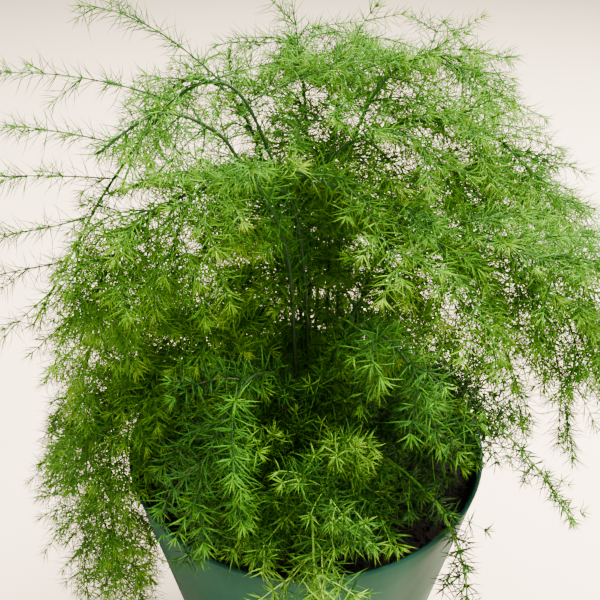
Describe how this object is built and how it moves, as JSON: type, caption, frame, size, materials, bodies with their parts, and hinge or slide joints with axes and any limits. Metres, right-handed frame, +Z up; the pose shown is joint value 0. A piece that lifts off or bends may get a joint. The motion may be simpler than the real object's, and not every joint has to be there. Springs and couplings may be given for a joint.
{
  "type": "potted asparagus fern",
  "caption": "Asparagus fern in a round tapered nursery pot: tall arching needle-leaved canes and short young shoots rise from a woody crown in dark potting soil.",
  "frame": {"origin": "centre of the pot's flat base, on the surface that it stands on", "axes": "+Z up along the pot's axis; -Y towards the front, where the short young shoots lean over the rim; +X to the right as seen from the front"},
  "size_m": [0.2219, 0.174, 0.2469],
  "materials": {
    "pot_plastic": "satin",
    "soil": "matte",
    "crown": "matte",
    "cane_foliage": "satin",
    "young_foliage": "satin"
  },
  "bodies": {
    "root": {"nursery_pot": "pot_plastic", "potting_soil": "soil", "woody_crown": "crown", "cane_left_arch": "cane_foliage", "cane_right_low_arch": "cane_foliage", "cane_right_arch": "cane_foliage", "cane_right_high": "cane_foliage", "cane_left_mid": "cane_foliage", "cane_front_left": "cane_foliage", "cane_back_right": "cane_foliage", "cane_back": "cane_foliage", "cane_back_left": "cane_foliage", "cane_left_low": "cane_foliage", "cane_left_hanging": "cane_foliage", "cane_right_mid": "cane_foliage", "cane_right_back": "cane_foliage", "cane_front_right": "cane_foliage", "cane_front_low": "cane_foliage", "cane_back_low": "cane_foliage", "shoot_left_rim": "young_foliage", "shoot_left_over_rim": "young_foliage", "shoot_front_left_rim": "young_foliage", "shoot_front_left_near": "young_foliage", "shoot_right_soil": "young_foliage", "shoot_right_low": "young_foliage", "shoot_front_right_low": "young_foliage", "shoot_right_rim": "young_foliage", "shoot_front_over_rim": "young_foliage", "shoot_front_soil": "young_foliage", "shoot_front_right_rim": "young_foliage", "shoot_left_upright": "young_foliage", "shoot_right_over_rim": "young_foliage", "shoot_right_trailing": "young_foliage", "shoot_front_right_trailing": "young_foliage", "shoot_front_upright": "young_foliage", "shoot_back_rim": "young_foliage", "shoot_front_left_soil": "young_foliage", "shoot_front_middle": "young_foliage", "shoot_back_left": "young_foliage", "shoot_back_right": "young_foliage"}
  },
  "joints": []
}
